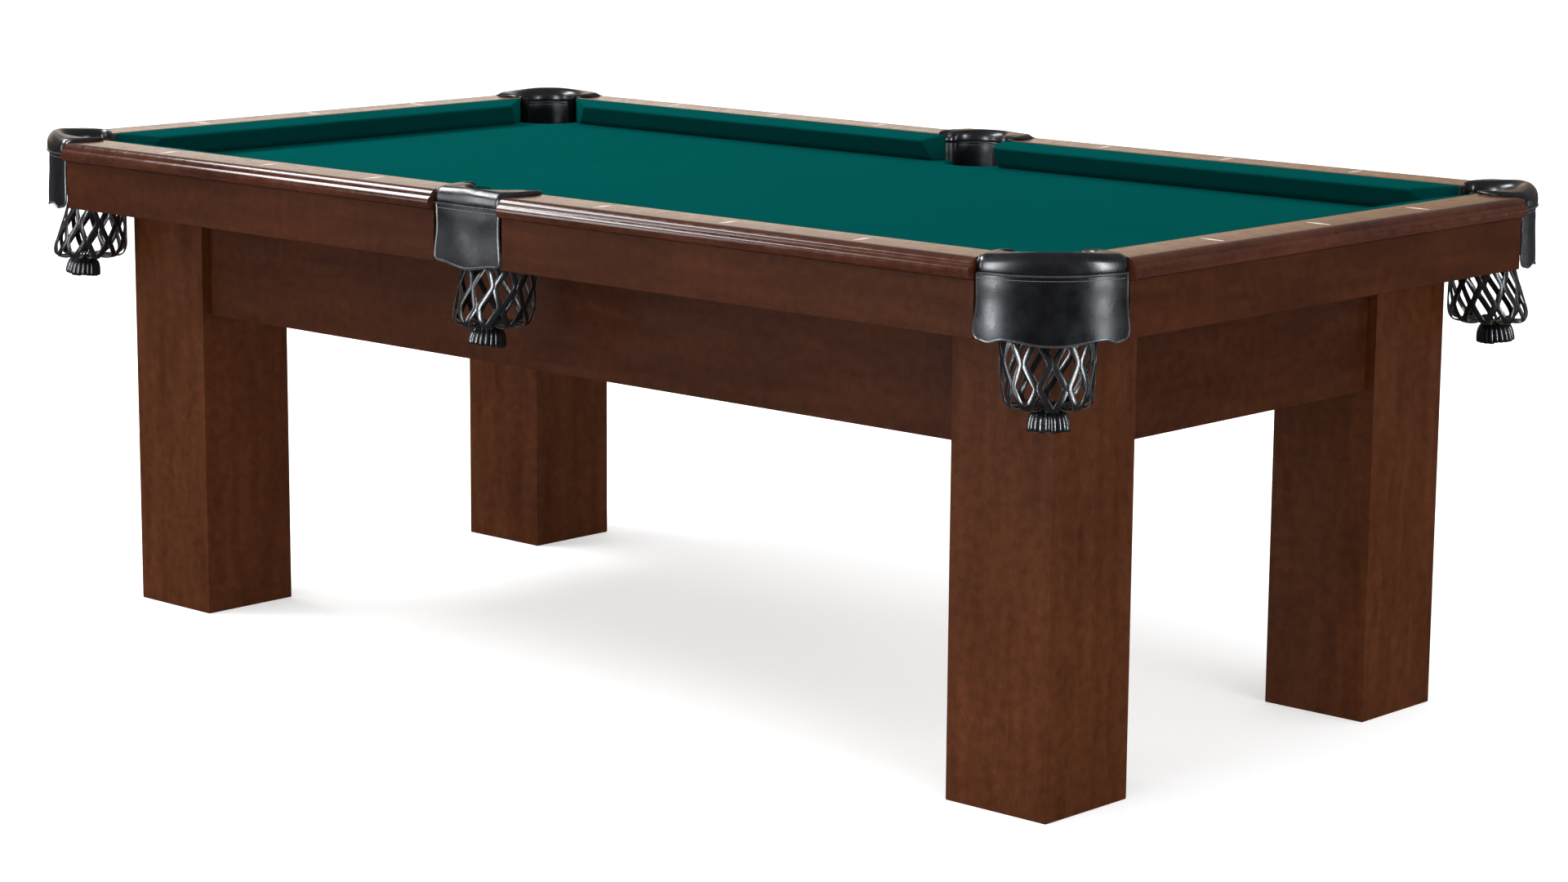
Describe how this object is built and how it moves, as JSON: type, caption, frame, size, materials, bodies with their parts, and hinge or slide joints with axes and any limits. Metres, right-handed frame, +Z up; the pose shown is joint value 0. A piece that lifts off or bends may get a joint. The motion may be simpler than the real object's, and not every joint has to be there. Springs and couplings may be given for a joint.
{
  "type": "pool table",
  "caption": "Slate pool table with square post legs, dark stained aprons, varnished rails with inlaid sights, cloth-covered bed and cushions, and leather drop pockets with woven nets.",
  "frame": {"origin": "centre of the footprint on the floor", "axes": "+X along the length of the table, -Y towards its front long side, +Z up"},
  "size_m": [2.306, 1.29, 0.822],
  "materials": {
    "stained_maple": "satin stain and varnish",
    "rail_varnish": "gloss varnish",
    "frame_timber": "bare sawn timber",
    "slate": "ground",
    "table_cloth": "napped wool",
    "cushion_cloth": "wool cloth over rubber",
    "pocket_leather": "semi-gloss dyed leather"
  },
  "bodies": {
    "root": {"leg_front_left": "stained_maple", "leg_front_right": "stained_maple", "leg_back_left": "stained_maple", "leg_back_right": "stained_maple", "cabinet_panel_front": "stained_maple", "cabinet_panel_back": "stained_maple", "cabinet_panel_right": "stained_maple", "cabinet_panel_left": "stained_maple", "slate_beam_front": "frame_timber", "slate_beam_back": "frame_timber", "slate_beam_right": "frame_timber", "slate_beam_left": "frame_timber", "slate_cross_beam_left": "frame_timber", "slate_cross_beam_right": "frame_timber", "slate_left": "slate", "slate_middle": "slate", "slate_right": "slate", "bed_cloth": "table_cloth", "rail_front_right": "rail_varnish", "cushion_front_right": "cushion_cloth", "apron_front_right": "stained_maple", "rail_front_left": "rail_varnish", "cushion_front_left": "cushion_cloth", "apron_front_left": "stained_maple", "rail_back_left": "rail_varnish", "cushion_back_left": "cushion_cloth", "apron_back_left": "stained_maple", "rail_back_right": "rail_varnish", "cushion_back_right": "cushion_cloth", "apron_back_right": "stained_maple", "rail_right_end": "rail_varnish", "cushion_right_end": "cushion_cloth", "apron_right_end": "stained_maple", "rail_left_end": "rail_varnish", "cushion_left_end": "cushion_cloth", "apron_left_end": "stained_maple", "pocket_collar_front_left": "pocket_leather", "pocket_skirt_front_left": "pocket_leather", "pocket_net_front_left": "pocket_leather", "pocket_tassel_front_left": "pocket_leather", "pocket_collar_front_middle": "pocket_leather", "pocket_skirt_front_middle": "pocket_leather", "pocket_net_front_middle": "pocket_leather", "pocket_tassel_front_middle": "pocket_leather", "pocket_collar_front_right": "pocket_leather", "pocket_skirt_front_right": "pocket_leather", "pocket_net_front_right": "pocket_leather", "pocket_tassel_front_right": "pocket_leather", "pocket_collar_back_left": "pocket_leather", "pocket_skirt_back_left": "pocket_leather", "pocket_net_back_left": "pocket_leather", "pocket_tassel_back_left": "pocket_leather", "pocket_collar_back_middle": "pocket_leather", "pocket_skirt_back_middle": "pocket_leather", "pocket_net_back_middle": "pocket_leather", "pocket_tassel_back_middle": "pocket_leather", "pocket_collar_back_right": "pocket_leather", "pocket_skirt_back_right": "pocket_leather", "pocket_net_back_right": "pocket_leather", "pocket_tassel_back_right": "pocket_leather"}
  },
  "joints": []
}
